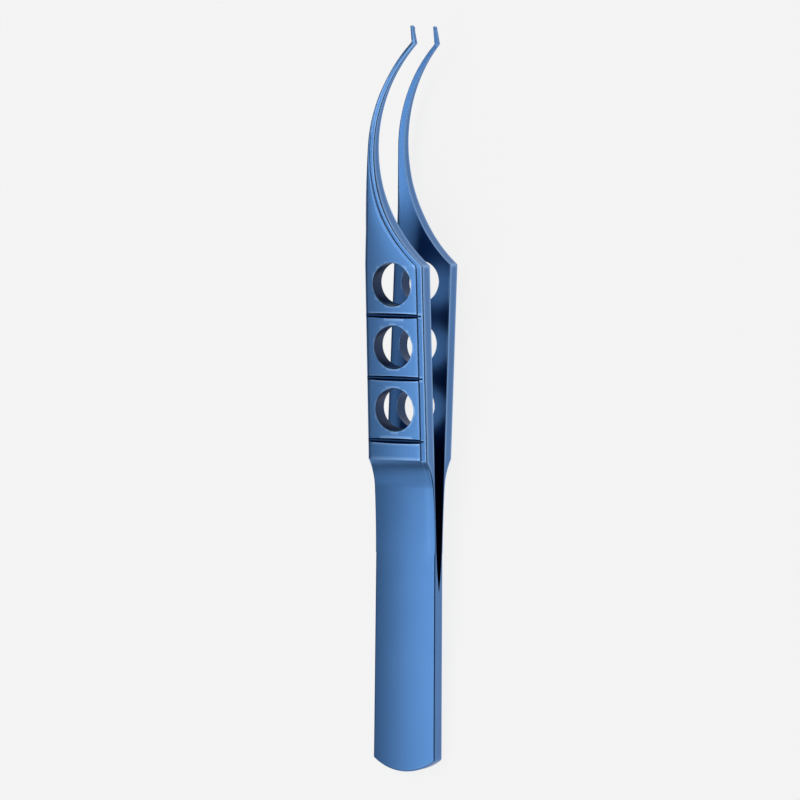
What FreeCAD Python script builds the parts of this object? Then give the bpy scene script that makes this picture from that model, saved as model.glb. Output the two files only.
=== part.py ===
"""Ophthalmic tissue forceps: a one-hand spring forceps with a flat joined tail,
two stepped and drilled grip pads, and long curved jaws with one-by-two teeth.

Lengths are in millimetres and angles in degrees.
The shape is drawn in the instrument's own axes: x across the grip, y from the
tail end to the tips, z from the rear arm to the front arm, with the mid-plane
between the arms at z = 0.  Every sub-part is then laid down at rest: the
forceps lies on the rear grip pad and on the tail end's lower edge.
"""
import FreeCAD
import Part
import Sketcher
import math
import os

V = FreeCAD.Vector
doc = FreeCAD.newDocument("tissue_forceps")

SIZES = {
    # Whole instrument
    # tail end to tips, measured along the mid-plane
    "overall_length": 85.0,
    # each arm's flat inner face leans away from the mid-plane by this
    "lean_angle": 3.27,
    # each arm's pad leans a little more, so that the arm is thickest at the shoulder
    "pad_lean_angle": 3.58,

    # Tail: two flat halves joined into one slab
    # across the tail at its end
    "tail_width": 7.9,
    # both halves together
    "tail_thickness": 2.17,
    # round of the tail's end, seen from the front
    "end_round_radius": 6.2,
    # round on the long outer edges of tail and arms
    "long_edge_round": 0.2,
    # from the leaves' roots back to the point of the slot
    "slot_depth": 4.52,
    # from the leaves' roots to the tips, along the mid-plane
    "arm_length": 60.0,
    # half the gap between the leaves at that station
    "slot_half_gap": 0.667,
    # curve of the slot's two sides, bowed outwards like a pointed arch
    "slot_arch_radius": 29.0,

    # Leaf springs and the scoops that rise from them to the pads
    # from the leaf's root to where its back meets the scoop
    "leaf_length": 7.6,
    # how far the leaf's back has risen there
    "leaf_rise": 0.475,
    # hollow curve of the leaf's back
    "leaf_back_radius": 61.0,
    # from the leaf to where the scoop breaks out through the pad face
    "scoop_length": 3.25,
    # hollow of the scoop
    "scoop_radius": 5.66,

    # Grip pad
    # from the scoop's top to the shoulder on the right
    "grip_length": 22.07,
    # half the grip's width there
    "shoulder_half_width": 3.69,
    # bore of the grip holes
    "hole_diameter": 4.8,
    # chamfer on the holes' outer rims
    "hole_chamfer": 0.1,
    # hole centres from the long axis
    "hole_offset": -0.15,
    # hole to hole and groove to groove
    "hole_pitch": 7.11,
    # first groove's centre beyond the scoop's top
    "groove_setback": 2.13,
    # groove along the arm
    "groove_width": 0.55,
    # groove below the pad face
    "groove_depth": 0.3,
    # groove's right-hand end from the long axis
    "groove_reach": 3.4,

    # Step along the right side of the pad and neck
    # raised pad's edge from the grip's right side
    "step_inset": 0.74,
    # wall between the raised pad and the strip
    "step_height": 0.27,
    # the strip's plane is this far above the jaw's back at the bend
    "step_runout": 0.23,
    # raised pad's edge from the hollow edge along the neck
    "neck_strip_width": 0.5,

    # Neck and jaw, seen from the front
    # hollow right edge, from its chord to its deepest point
    "neck_hollow": 5.43,
    # pad, inner flat and grip's left side end this far past the shoulder
    "neck_setback": 4.18,
    # left edge from the long axis along the neck
    "neck_left": 3.48,
    # from the jaw's bend to the end of the tip
    "tip_length": 2.05,
    # left corner of that bend, across
    "bend_left_across": 1.33,
    # right corner of that bend, across
    "bend_right_across": 1.93,
    # middle of the tip's end, across
    "tip_across": 1.337,
    # half the tip's width near its end
    "tip_half_width": 0.178,
    # round of the tip's end
    "tip_round_radius": 0.2,
    # how far that round stands above its corners
    "tip_round_height": 0.11,
    # one tip corner stands this far above the middle
    "tip_lean": 0.025,

    # Neck and jaw, seen from the side
    # pad plane to inner face at the leaves' roots, square to the mid-plane
    "arm_thickness": 1.982,
    # bow of the jaw's inner face
    "inner_jaw_radius": 163.0,
    # inner face at the bend, below the flat inner face's plane
    "jaw_inner_drop": 1.357,
    # inner face at the tip, below its height at the bend
    "tip_inner_drop": 0.02,
    # round where the pad turns over
    "turnover_radius": 20.0,
    # slight belly of the jaw's back
    "jaw_back_radius": 330.0,
    # jaw at the bend, inner face to back
    "bend_thickness": 0.41,
    # tip, inner face to back
    "tip_thickness": 0.4,

    # Teeth
    # middle of the tip where the teeth stand, across
    "tooth_middle": 1.39,
    # teeth above the tip's inner face
    "tooth_height": 0.12,
    # single tooth across the tip
    "tooth_width": 0.11,
    # each of the two outer teeth
    "tooth_side_width": 0.1,
    # side gap between meshing teeth
    "tooth_clearance": 0.015,
    # tail-side foot of the teeth, back from the tip's end
    "tooth_foot_back": 0.55,
    # crest of the teeth, back from the tip's end
    "tooth_crest_back": 0.3,
    # tip-side foot of the teeth, back from the tip's end
    "tooth_end_back": 0.2,
    # how far the teeth are rooted in the tip
    "tooth_root": 0.05,

    # Finishing
    # outer edges of the tips
    "tip_edge_round": 0.1,
    # how far cutting shapes reach past the metal
    "blank_margin": 6.0,
}

# Stations along the instrument and heights above the mid-plane, in the same names
PAD_AT = ("slot_half_gap + arm_thickness"
          " + tan(pad_lean_angle * 1 deg) * (%s - split_station)")
INNER_AT = "slot_half_gap + tan(lean_angle * 1 deg) * (%s - split_station)"
DERIVED = {
    "split_station": "overall_length - arm_length",
    "slot_start": "split_station - slot_depth",
    "leaf_end": "split_station + leaf_length",
    "leaf_end_height": "tail_thickness / 2 + leaf_rise",
    "scoop_top": "leaf_end + scoop_length",
    "shoulder_station": "scoop_top + grip_length",
    "groove_station": "scoop_top + groove_setback",
    "hole_station": "groove_station + hole_pitch / 2",
    "neck_station": "shoulder_station + neck_setback",
    "bend_station": "overall_length - tip_length",
    "inner_bend_height": INNER_AT % "bend_station" + " - jaw_inner_drop",
    "neck_chord": "sqrt((bend_station - shoulder_station) ^ 2"
                  " + (shoulder_half_width - bend_right_across) ^ 2)",
    "neck_radius": "neck_chord ^ 2 / (8 * neck_hollow) + neck_hollow / 2",
    "neck_centre_across": "(shoulder_half_width + bend_right_across) / 2"
                          " + (neck_radius - neck_hollow)"
                          " * (bend_station - shoulder_station) / neck_chord",
    "neck_centre_along": "(shoulder_station + bend_station) / 2"
                         " + (neck_radius - neck_hollow)"
                         " * (shoulder_half_width - bend_right_across) / neck_chord",
    "jaw_left_station": "neck_centre_along",
    "pad_edge_radius": "neck_radius + neck_strip_width",
    "pad_corner_across": "shoulder_half_width - step_inset",
    "pad_corner_station": "neck_centre_along - sqrt(pad_edge_radius ^ 2"
                          " - (neck_centre_across - pad_corner_across) ^ 2)",
    "pad_edge_end": "neck_centre_across - sqrt(pad_edge_radius ^ 2"
                    " - (bend_station - neck_centre_along) ^ 2)",
    "back_bend_height": "inner_bend_height + bend_thickness",
    "inner_tip_height": "inner_bend_height - tip_inner_drop",
    "back_tip_height": "inner_tip_height + tip_thickness",
    "tooth_foot": "overall_length - tooth_foot_back",
    "tooth_crest": "overall_length - tooth_crest_back",
    "tooth_end": "overall_length - tooth_end_back",
}

sheet = doc.addObject("Spreadsheet::Sheet", "sizes")
sheet.Label = "sizes"
for row, (name, number) in enumerate(SIZES.items(), start=1):
    sheet.set("A%d" % row, name)
    sheet.set("B%d" % row, str(number))
    sheet.setAlias("B%d" % row, name)
for row, (name, formula) in enumerate(DERIVED.items(), start=len(SIZES) + 2):
    sheet.set("A%d" % row, name)
    sheet.set("B%d" % row, "=" + formula)
    sheet.setAlias("B%d" % row, name)
doc.recompute()


def expand(expression):
    """Put 'sizes.' before every sheet name in an expression."""
    words = []
    word = ""
    for letter in str(expression) + " ":
        if letter.isalnum() or letter == "_":
            word += letter
            continue
        if word in SIZES or word in DERIVED:
            word = "sizes." + word
        words.append(word + letter)
        word = ""
    return "".join(words).strip()


def value(expression):
    """Work out an expression in the sheet's names, as a plain number."""
    result = sheet.evalExpression(expand(expression))
    return float(getattr(result, "Value", result))


# Taper of the long sides from the tail's end to the shoulder
SIDE_SLOPE = "((tail_width / 2 - shoulder_half_width) / shoulder_station)"
HALF_AT_SPLIT = "(tail_width / 2 - %s * split_station)" % SIDE_SLOPE


def half_width_at(station):
    """Half the width of tail and grip at a station along the instrument."""
    return "(tail_width / 2 - %s * %s)" % (SIDE_SLOPE, station)


def pad_at(station):
    """Height of the pad plane above the mid-plane at a station."""
    return "(%s)" % (PAD_AT % station)


def inner_at(station):
    """Height of the arm's flat inner face above the mid-plane at a station."""
    return "(%s)" % (INNER_AT % station)


def sketch_on(body, role, label):
    """Start a sketch on one of a body's own origin planes."""
    sketch = body.newObject("Sketcher::SketchObject", label)
    planes = [o for o in body.Origin.OriginFeatures if o.Role == role]
    sketch.AttachmentSupport = (planes[0], [""])
    sketch.MapMode = "FlatFace"
    doc.recompute()
    return sketch


def bind(sketch, constraint, label, expression):
    """Add a constraint, name it and drive it from the sheet."""
    index = sketch.addConstraint(constraint)
    sketch.renameConstraint(index, label)
    sketch.setExpression("Constraints." + label, expand(expression))
    return index


def pin(sketch, geometry, end, label, x_expression, y_expression):
    """Hold one end of a line or arc at a point given by two expressions."""
    x_now = value(x_expression)
    y_now = value(y_expression)
    across = Sketcher.Constraint("DistanceX", -1, 1, geometry, end, x_now)
    along = Sketcher.Constraint("DistanceY", -1, 1, geometry, end, y_now)
    bind(sketch, across, label + "_x", x_expression)
    bind(sketch, along, label + "_y", y_expression)


def arc_between(start, end, radius, bulge):
    """Arc from start to end; bulge +1 bows to the left of travel, -1 right."""
    chord = end - start
    half = chord.Length / 2
    sagitta = radius - math.sqrt(radius * radius - half * half)
    left = V(-chord.y, chord.x, 0)
    left.normalize()
    middle = (start + end) * 0.5 + left * (sagitta * bulge)
    return Part.Arc(start, middle, end)


def closed_profile(sketch, corners, sides, smooth=(), free=()):
    """Draw a closed outline and hold every corner and radius to the sheet.

    corners: (label, x, y) for each corner, in order.
    sides: for the side that leaves each corner, None for a straight one or
    (label, radius, bulge) for an arc; with no label, tangency sets the radius.
    smooth: labels of the corners where the two sides run on tangent.
    free: labels of the corners whose place follows from tangency alone.
    """
    points = [V(value(x), value(y), 0) for label, x, y in corners]
    count = len(points)
    drawn = []
    for index in range(count):
        start = points[index]
        end = points[(index + 1) % count]
        side = sides[index]
        if side is None:
            shape = Part.LineSegment(start, end)
        else:
            shape = arc_between(start, end, value(side[1]), side[2])
        drawn.append(sketch.addGeometry(shape))
    ends = []
    for index in range(count):
        start = points[index]
        at_start = sketch.getPoint(drawn[index], 1)
        forward = (at_start - start).Length < 1e-6
        ends.append((1, 2) if forward else (2, 1))
    for index in range(count):
        after = (index + 1) % count
        kind = "Tangent" if corners[after][0] in smooth else "Coincident"
        joined = Sketcher.Constraint(
            kind, drawn[index], ends[index][1], drawn[after], ends[after][0])
        sketch.addConstraint(joined)
    for index in range(count):
        label, x, y = corners[index]
        if label not in free:
            pin(sketch, drawn[index], ends[index][0], label, x, y)
        side = sides[index]
        if side is not None and side[0] is not None:
            radius = Sketcher.Constraint("Radius", drawn[index], value(side[1]))
            bind(sketch, radius, side[0], side[1])
    doc.recompute()
    return drawn


def edges_where(feature, test):
    """Names of a feature's edges whose middle point passes a test."""
    chosen = []
    for index, edge in enumerate(feature.Shape.Edges):
        middle = edge.valueAt(0.5 * (edge.FirstParameter + edge.LastParameter))
        if test(edge, middle):
            chosen.append("Edge%d" % (index + 1))
    return chosen


def normal_of(face, point):
    """Outward normal of a face at the point on it that is nearest."""
    return face.normalAt(*face.Surface.parameter(point))


def middle_of(edge):
    """Point half way along an edge."""
    return edge.valueAt(0.5 * (edge.FirstParameter + edge.LastParameter))


def faces_beside(shape, edge):
    """The faces that meet at an edge."""
    return shape.ancestorsOfType(edge, Part.Face)


def is_outline_face(shape, face):
    """True for an upright side face that runs down to the inner face."""
    for edge in face.Edges:
        middle = middle_of(edge)
        if abs(normal_of(face, middle).z) > 0.02:
            return False
        for other in faces_beside(shape, edge):
            if normal_of(other, middle).z < -0.3:
                return True
    return False


def outline_edges(shape, side, test):
    """Names of the edges between side faces and the back or the inner face.

    side: +1 for the edges along the arm's back, -1 for those inside.
    test: takes the edge's middle and the side face's normal there.
    """
    chosen = []
    for index, edge in enumerate(shape.Edges):
        beside = faces_beside(shape, edge)
        if len(beside) != 2:
            continue
        middle = middle_of(edge)
        for upright, flat in (beside, beside[::-1]):
            outward = normal_of(upright, middle)
            if abs(outward.z) > 0.02 or abs(outward.y) > 0.9999:
                continue
            if normal_of(flat, middle).z * side < 0.3:
                continue
            if is_outline_face(shape, upright) and test(middle, outward):
                chosen.append("Edge%d" % (index + 1))
    return chosen


def round_edges(body, base, label, names, radius_name):
    """Round some edges of a feature and make the result the body's tip."""
    feature = body.newObject("PartDesign::Fillet", label)
    feature.Base = (base, names)
    feature.setExpression("Radius", "sizes." + radius_name)
    doc.recompute()
    body.Tip = feature
    return feature


def sketch_on_pad(body, label):
    """Start a sketch on the pad plane: x across, y along the leaning arm."""
    sketch = sketch_on(body, "XY_Plane", label)
    turn = FreeCAD.Rotation(V(1, 0, 0), value("pad_lean_angle"))
    sketch.AttachmentOffset = FreeCAD.Placement(V(0, 0, 0), turn)
    sketch.setExpression("AttachmentOffset.Rotation.Angle", "sizes.pad_lean_angle * 1 deg")
    height = expand("(%s) * 1 mm" % pad_at("0"))
    sketch.setExpression("AttachmentOffset.Base.z", height)
    doc.recompute()
    return sketch


def repeat_along(body, base, label, sketch, length_expression, count):
    """Repeat a feature along the arm and make the result the body's tip."""
    pattern = body.newObject("PartDesign::LinearPattern", label)
    pattern.Originals = [base]
    pattern.Direction = (sketch, ["V_Axis"])
    pattern.Occurrences = count
    pattern.setExpression("Length", expand("(%s) * 1 mm" % length_expression))
    doc.recompute()
    body.Tip = pattern
    return pattern


def lay_down(sub_part):
    """Place a sub-part at rest: rear pad and tail end on the ground plane."""
    sub_part.Placement = FreeCAD.Placement(V(0, 0, 0), FreeCAD.Rotation(V(1, 0, 0), 1))
    sub_part.setExpression("Placement.Rotation.Angle", "sizes.pad_lean_angle * 1 deg")
    reach = "overall_length * cos(pad_lean_angle * 1 deg)"
    tip_swing = "(back_tip_height - tail_thickness / 2) * sin(pad_lean_angle * 1 deg)"
    rest_y = "-(%s + %s) / 2" % (reach, tip_swing)
    rest_z = "(%s) * cos(pad_lean_angle * 1 deg)" % pad_at("0")
    sub_part.setExpression("Placement.Base.y", expand("(%s) * 1 mm" % rest_y))
    sub_part.setExpression("Placement.Base.z", expand("(%s) * 1 mm" % rest_z))


# Tail: a flat slab with a rounded end, slit open towards the leaves
tail = doc.addObject("PartDesign::Body", "tail")
tail.Label = "tail"
END_CORNER = "(end_round_radius - sqrt(end_round_radius ^ 2 - (tail_width / 2) ^ 2))"
tail_plan = sketch_on(tail, "XY_Plane", "tail_plan")
closed_profile(
    tail_plan,
    [
        ("end_left", "-tail_width / 2", END_CORNER),
        ("end_right", "tail_width / 2", END_CORNER),
        ("split_right", HALF_AT_SPLIT, "split_station"),
        ("split_left", "-" + HALF_AT_SPLIT, "split_station"),
    ],
    [("end_round", "end_round_radius", -1), None, None, None],
)
tail_slab = tail.newObject("PartDesign::Pad", "tail_slab")
tail_slab.Profile = tail_plan
tail_slab.Midplane = True
tail_slab.setExpression("Length", "sizes.tail_thickness")
doc.recompute()

tail_edges = edges_where(
    tail_slab, lambda edge, middle: middle.y < value("split_station") - 1e-3)
tail_rounds = tail.newObject("PartDesign::Fillet", "tail_rounds")
tail_rounds.Base = (tail_slab, tail_edges)
tail_rounds.setExpression("Radius", "sizes.long_edge_round")
doc.recompute()

slot_side = sketch_on(tail, "YZ_Plane", "slot_side")
SLOT_MOUTH = "(split_station + 1)"
closed_profile(
    slot_side,
    [
        ("slot_point", "slot_start", "0"),
        ("mouth_rear", "split_station", "-slot_half_gap"),
        ("past_rear", SLOT_MOUTH, "-slot_half_gap"),
        ("past_front", SLOT_MOUTH, "slot_half_gap"),
        ("mouth_front", "split_station", "slot_half_gap"),
    ],
    [("arch_rear", "slot_arch_radius", -1), None, None, None,
     ("arch_front", "slot_arch_radius", -1)],
)
slot = tail.newObject("PartDesign::Pocket", "slot")
slot.Profile = slot_side
slot.Type = "ThroughAll"
slot.Midplane = True
doc.recompute()
tail.Tip = slot


# Cutter for the step along the right side of the pad and the neck
cutter = doc.addObject("PartDesign::Body", "step_cutter")
cutter.Label = "step_cutter"
PAST_RIGHT = "(tail_width / 2 + blank_margin)"
PAD_EDGE_LOW = "(%s - step_inset)" % half_width_at("leaf_end")
step_plan = sketch_on(cutter, "XY_Plane", "step_plan")
closed_profile(
    step_plan,
    [
        ("edge_low", PAD_EDGE_LOW, "leaf_end"),
        ("past_low", PAST_RIGHT, "leaf_end"),
        ("past_high", PAST_RIGHT, "bend_station"),
        ("edge_end", "pad_edge_end", "bend_station"),
        ("edge_high", "pad_corner_across", "pad_corner_station"),
    ],
    [None, None, None, ("neck_edge", "pad_edge_radius", -1), None],
)
step_prism = cutter.newObject("PartDesign::Pad", "step_prism")
step_prism.Profile = step_plan
step_prism.setExpression("Length", expand("(back_bend_height + blank_margin) * 1 mm"))
doc.recompute()

step_floor = sketch_on(cutter, "YZ_Plane", "step_floor")
STRIP_LOW = "(%s - step_height)" % pad_at("(leaf_end - blank_margin)")
STRIP_TURN = "(%s - step_height)" % pad_at("neck_station")
closed_profile(
    step_floor,
    [
        ("low", "(leaf_end - blank_margin)", STRIP_LOW),
        ("below_low", "(leaf_end - blank_margin)", "-blank_margin"),
        ("below_high", "bend_station", "-blank_margin"),
        ("runout", "bend_station", "(back_bend_height + step_runout)"),
        ("turned", "(neck_station + 2.2)", STRIP_TURN),
        ("turn", "neck_station", STRIP_TURN),
    ],
    [None, None, None, ("floor_curve", "jaw_back_radius", -1),
     ("floor_turnover", "turnover_radius", -1), None],
    smooth=("turned", "turn"),
    free=("turned",),
)
step_bottom = cutter.newObject("PartDesign::Pocket", "step_bottom")
step_bottom.Profile = step_floor
step_bottom.Type = "ThroughAll"
step_bottom.Midplane = True
doc.recompute()
cutter.Tip = step_bottom


# Arm: one milled piece with its leaf, scoop, stepped pad, neck and jaw
arm = doc.addObject("PartDesign::Body", "arm")
arm.Label = "arm_blank"
arm_side = sketch_on(arm, "YZ_Plane", "arm_side")
PAST_TIP = "(overall_length + 1)"
closed_profile(
    arm_side,
    [
        ("inner_split", "split_station", "slot_half_gap"),
        ("inner_turn", "neck_station", inner_at("neck_station")),
        ("inner_bend", "bend_station", "inner_bend_height"),
        ("inner_tip", PAST_TIP, "inner_tip_height"),
        ("back_tip", PAST_TIP, "back_tip_height"),
        ("back_bend", "bend_station", "back_bend_height"),
        ("turned", "(neck_station + 2.355)", pad_at("neck_station")),
        ("pad_end", "neck_station", pad_at("neck_station")),
        ("scoop_top", "scoop_top", pad_at("scoop_top")),
        ("leaf_end", "leaf_end", "leaf_end_height"),
        ("back_split", "split_station", "tail_thickness / 2"),
    ],
    [
        None,
        ("jaw_bow", "inner_jaw_radius", 1),
        None,
        None,
        None,
        ("jaw_back", "jaw_back_radius", -1),
        ("turnover", "turnover_radius", -1),
        None,
        ("scoop", "scoop_radius", 1),
        ("leaf_back", "leaf_back_radius", 1),
        None,
    ],
    smooth=("turned", "pad_end"),
    free=("turned",),
)
arm_bar = arm.newObject("PartDesign::Pad", "arm_bar")
arm_bar.Profile = arm_side
arm_bar.Midplane = True
arm_bar.setExpression("Length", expand("(tail_width + blank_margin) * 1 mm"))
doc.recompute()

arm_plan = sketch_on(arm, "XY_Plane", "arm_plan")
PAST_LEFT = "-" + PAST_RIGHT
BEFORE = "(split_station - blank_margin)"
BEYOND = "(overall_length + blank_margin)"
JAW_LEFT_GUESS = "(1.2 * (bend_station - jaw_left_station))"
TIP_CORNER_HIGH = "(overall_length - tip_round_height + tip_lean)"
TIP_CORNER_LOW = "(overall_length - tip_round_height - tip_lean)"
closed_profile(
    arm_plan,
    [
        ("split_left", "-" + HALF_AT_SPLIT, "split_station"),
        ("split_right", HALF_AT_SPLIT, "split_station"),
        ("shoulder", "shoulder_half_width", "shoulder_station"),
        ("bend_right", "bend_right_across", "bend_station"),
        ("tip_right", "(tip_across + tip_half_width)", TIP_CORNER_HIGH),
        ("tip_left", "(tip_across - tip_half_width)", TIP_CORNER_LOW),
        ("bend_left", "bend_left_across", "bend_station"),
        ("jaw_left", "-neck_left", "jaw_left_station"),
        ("neck_left", "-neck_left", "neck_station"),
        ("grip_left", "-shoulder_half_width", "shoulder_station"),
    ],
    [
        None,
        None,
        ("neck", "neck_radius", 1),
        None,
        ("tip_round", "tip_round_radius", -1),
        None,
        (None, JAW_LEFT_GUESS, -1),
        None,
        None,
        None,
    ],
    smooth=("jaw_left",),
)
closed_profile(
    arm_plan,
    [
        ("frame_a", PAST_LEFT, BEFORE),
        ("frame_b", PAST_RIGHT, BEFORE),
        ("frame_c", PAST_RIGHT, BEYOND),
        ("frame_d", PAST_LEFT, BEYOND),
    ],
    [None, None, None, None],
)
arm_outline = arm.newObject("PartDesign::Pocket", "arm_outline")
arm_outline.Profile = arm_plan
arm_outline.Type = "ThroughAll"
arm_outline.Midplane = True
doc.recompute()

step = arm.newObject("PartDesign::Boolean", "step")
step.Type = "Cut"
step.setObjects([cutter])
doc.recompute()

# Rounds on the back's long edges, one side after the other, then on the tip
BEND = value("bend_station")
right_names = outline_edges(arm.Shape, 1, lambda m, n: n.x > 0 and m.y < BEND)
right_round = round_edges(arm, step, "right_round", right_names, "long_edge_round")
left_names = outline_edges(arm.Shape, 1, lambda m, n: n.x < 0 and m.y < BEND)
left_round = round_edges(arm, right_round, "left_round", left_names, "long_edge_round")
TIP_SIDE = BEND + 0.1
tip_names = outline_edges(arm.Shape, 1, lambda m, n: m.y > TIP_SIDE)
tip_round = round_edges(arm, left_round, "tip_round", tip_names, "tip_edge_round")

# Grip holes, square to the pad
COUNT = 3
ALONG_PAD = "(%s / cos(pad_lean_angle * 1 deg))"
SPAN = "(hole_pitch * %d)" % (COUNT - 1)
hole_sketch = sketch_on_pad(arm, "hole_sketch")
hole_round = Part.Circle(
    V(value("hole_offset"), value(ALONG_PAD % "hole_station"), 0),
    V(0, 0, 1), value("hole_diameter / 2"))
hole_sketch.addGeometry(hole_round)
pin(hole_sketch, 0, 3, "hole", "hole_offset", ALONG_PAD % "hole_station")
bore = Sketcher.Constraint("Radius", 0, value("hole_diameter / 2"))
bind(hole_sketch, bore, "bore", "hole_diameter / 2")
hole = arm.newObject("PartDesign::Pocket", "hole")
hole.Profile = hole_sketch
hole.Type = "ThroughAll"
hole.Midplane = True
doc.recompute()
holes = repeat_along(arm, hole, "holes", hole_sketch, SPAN, COUNT)


def is_hole_rim(edge, middle):
    """True for a hole's rim on the pad face."""
    if abs(edge.Length - math.pi * value("hole_diameter")) > 1e-3:
        return False
    return middle.z > value(pad_at("hole_station")) - 0.5 * value("arm_thickness")


hole_rims = arm.newObject("PartDesign::Chamfer", "hole_rims")
hole_rims.Base = (holes, edges_where(holes, is_hole_rim))
hole_rims.setExpression("Size", "sizes.hole_chamfer")
doc.recompute()
arm.Tip = hole_rims

# Grip grooves, out through the left side and into the strip on the right
groove_sketch = sketch_on_pad(arm, "groove_sketch")
GROOVE_LOW = ALONG_PAD % "groove_station" + " - groove_width / 2"
GROOVE_HIGH = ALONG_PAD % "groove_station" + " + groove_width / 2"
closed_profile(
    groove_sketch,
    [
        ("low_left", PAST_LEFT, GROOVE_LOW),
        ("low_right", "groove_reach", GROOVE_LOW),
        ("high_right", "groove_reach", GROOVE_HIGH),
        ("high_left", PAST_LEFT, GROOVE_HIGH),
    ],
    [None, None, None, None],
)
groove = arm.newObject("PartDesign::Pocket", "groove")
groove.Profile = groove_sketch
groove.setExpression("Length", "sizes.groove_depth")
doc.recompute()
grooves = repeat_along(arm, groove, "grooves", groove_sketch, SPAN, COUNT)


def tooth(label, across_expression, width_name):
    """Stand one tooth on the front tip's inner face, slanting towards it."""
    side = doc.addObject("Sketcher::SketchObject", label + "_side")
    side.Placement = FreeCAD.Placement(V(0, 0, 0), FreeCAD.Rotation(90, 0, 90))
    root = "(inner_tip_height + tooth_root)"
    closed_profile(
        side,
        [
            ("foot_root", "tooth_foot", root),
            ("foot", "tooth_foot", "inner_tip_height"),
            ("crest", "tooth_crest", "(inner_tip_height - tooth_height)"),
            ("end", "tooth_end", "inner_tip_height"),
            ("end_root", "tooth_end", root),
        ],
        [None, None, None, None, None],
    )
    prism = doc.addObject("Part::Extrusion", label)
    prism.Base = side
    prism.DirMode = "Custom"
    prism.Dir = V(1, 0, 0)
    prism.Solid = True
    prism.setExpression("LengthFwd", "sizes." + width_name)
    across = expand("(%s) * 1 mm" % across_expression)
    prism.setExpression("Placement.Base.x", across)
    doc.recompute()
    return prism


# One tooth on the rear tip meshes between two on the front tip
single_tooth = tooth("single_tooth", "tooth_middle - tooth_width / 2", "tooth_width")
GAP_SIDE = "tooth_width / 2 + tooth_clearance"
left_tooth = tooth(
    "left_tooth", "tooth_middle - %s - tooth_side_width" % GAP_SIDE, "tooth_side_width")
right_tooth = tooth("right_tooth", "tooth_middle + %s" % GAP_SIDE, "tooth_side_width")

front_arm = doc.addObject("Part::MultiFuse", "front_arm")
front_arm.Label = "front_arm"
front_arm.Shapes = [arm, left_tooth, right_tooth]
front_arm.Refine = True

toothed_blank = doc.addObject("Part::Fuse", "toothed_blank")
toothed_blank.Base = arm
toothed_blank.Tool = single_tooth
toothed_blank.Refine = True
rear_arm = doc.addObject("Part::Mirroring", "rear_arm")
rear_arm.Label = "rear_arm"
rear_arm.Source = toothed_blank
rear_arm.Base = V(0, 0, 0)
rear_arm.Normal = V(0, 0, 1)
doc.recompute()

sub_parts = [tail, front_arm, rear_arm]
for sub_part in sub_parts:
    lay_down(sub_part)
doc.recompute()

for item in doc.Objects:
    if "Invalid" in item.State or "Error" in item.State:
        raise RuntimeError("%s did not rebuild: %s" % (item.Label, item.State))

for sub_part in sub_parts:
    if sub_part.Shape.isNull() or not sub_part.Shape.isValid():
        raise RuntimeError("%s has no sound solid" % sub_part.Label)

os.makedirs("parts", exist_ok=True)
for sub_part in sub_parts:
    sub_part.Shape.exportStep("parts/%s.step" % sub_part.Label)
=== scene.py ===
"""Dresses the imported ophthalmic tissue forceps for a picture.

The forceps is drawn in its own axes in millimetres: u across the grip, v from
the tail end to the tips, and w from the rear arm to the front arm, with the
plane between the arms at w = 0.  Rest then lays it down on its rear grip pad
and its tail end, and turns millimetres into the frame's metres.
"""
import logging
import math
from collections.abc import Callable
from dataclasses import dataclass
from enum import Enum

import bmesh
import bpy
from bpy.types import (
    ID, Material, Mesh, MeshPolygon, Node, NodeSocket, NodeTree, Object, World)
from mathutils import Matrix, Vector


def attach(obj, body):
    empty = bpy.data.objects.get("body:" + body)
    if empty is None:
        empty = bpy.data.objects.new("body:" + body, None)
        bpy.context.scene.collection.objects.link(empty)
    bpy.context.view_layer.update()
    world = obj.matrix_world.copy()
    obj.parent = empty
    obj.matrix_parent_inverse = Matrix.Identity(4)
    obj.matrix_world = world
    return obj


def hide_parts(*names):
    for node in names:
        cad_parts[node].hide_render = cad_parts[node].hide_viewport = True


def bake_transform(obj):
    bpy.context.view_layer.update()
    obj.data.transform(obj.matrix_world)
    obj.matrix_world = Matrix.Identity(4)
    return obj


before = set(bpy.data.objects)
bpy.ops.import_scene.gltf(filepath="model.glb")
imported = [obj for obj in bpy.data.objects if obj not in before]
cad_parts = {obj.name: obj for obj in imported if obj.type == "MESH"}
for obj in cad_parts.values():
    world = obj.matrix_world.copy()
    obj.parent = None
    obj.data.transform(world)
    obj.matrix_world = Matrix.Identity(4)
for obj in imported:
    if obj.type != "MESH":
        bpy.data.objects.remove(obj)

log = logging.getLogger("forceps")

MM = 0.001
MERGE_GAP = 1e-4
LEAST_EDGE = 1e-5
SHARP_ANGLE = math.radians(32)
Point2 = tuple[float, float]
Point3 = tuple[float, float, float]
Ring = list[Point2]


class Side(Enum):
    """Which arm a piece belongs to, as the sign of its height w."""

    FRONT = 1
    REAR = -1


def linear(hex_colour: str) -> tuple[float, float, float, float]:
    """Turn an sRGB hex colour into a linear one.

    Args:
        hex_colour: six hex digits, such as "4a73a5".

    Returns:
        Red, green, blue and alpha, from 0 to 1.
    """
    channels = [int(hex_colour[i:i + 2], 16) / 255 for i in (0, 2, 4)]
    lit = [c / 12.92 if c <= 0.04045 else ((c + 0.055) / 1.055) ** 2.4 for c in channels]
    return (lit[0], lit[1], lit[2], 1.0)


def add_node(
    tree: NodeTree,
    kind: str,
    settings: dict[str, object] | None = None,
    links: dict[str | int, object] | None = None,
) -> Node:
    """Add a node to a shader or geometry tree.

    Args:
        tree: the tree that gets the node.
        kind: the node's type name.
        settings: the node's own properties, by name.
        links: for each input, by name or number, the output that feeds it or
            the plain value that it keeps.

    Returns:
        The new node.
    """
    node = tree.nodes.new(kind)
    for name, value in (settings or {}).items():
        setattr(node, name, value)
    for name, value in (links or {}).items():
        socket = node.inputs[name]
        if isinstance(value, NodeSocket):
            tree.links.new(value, socket)
        else:
            socket.default_value = value
    return node


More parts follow.
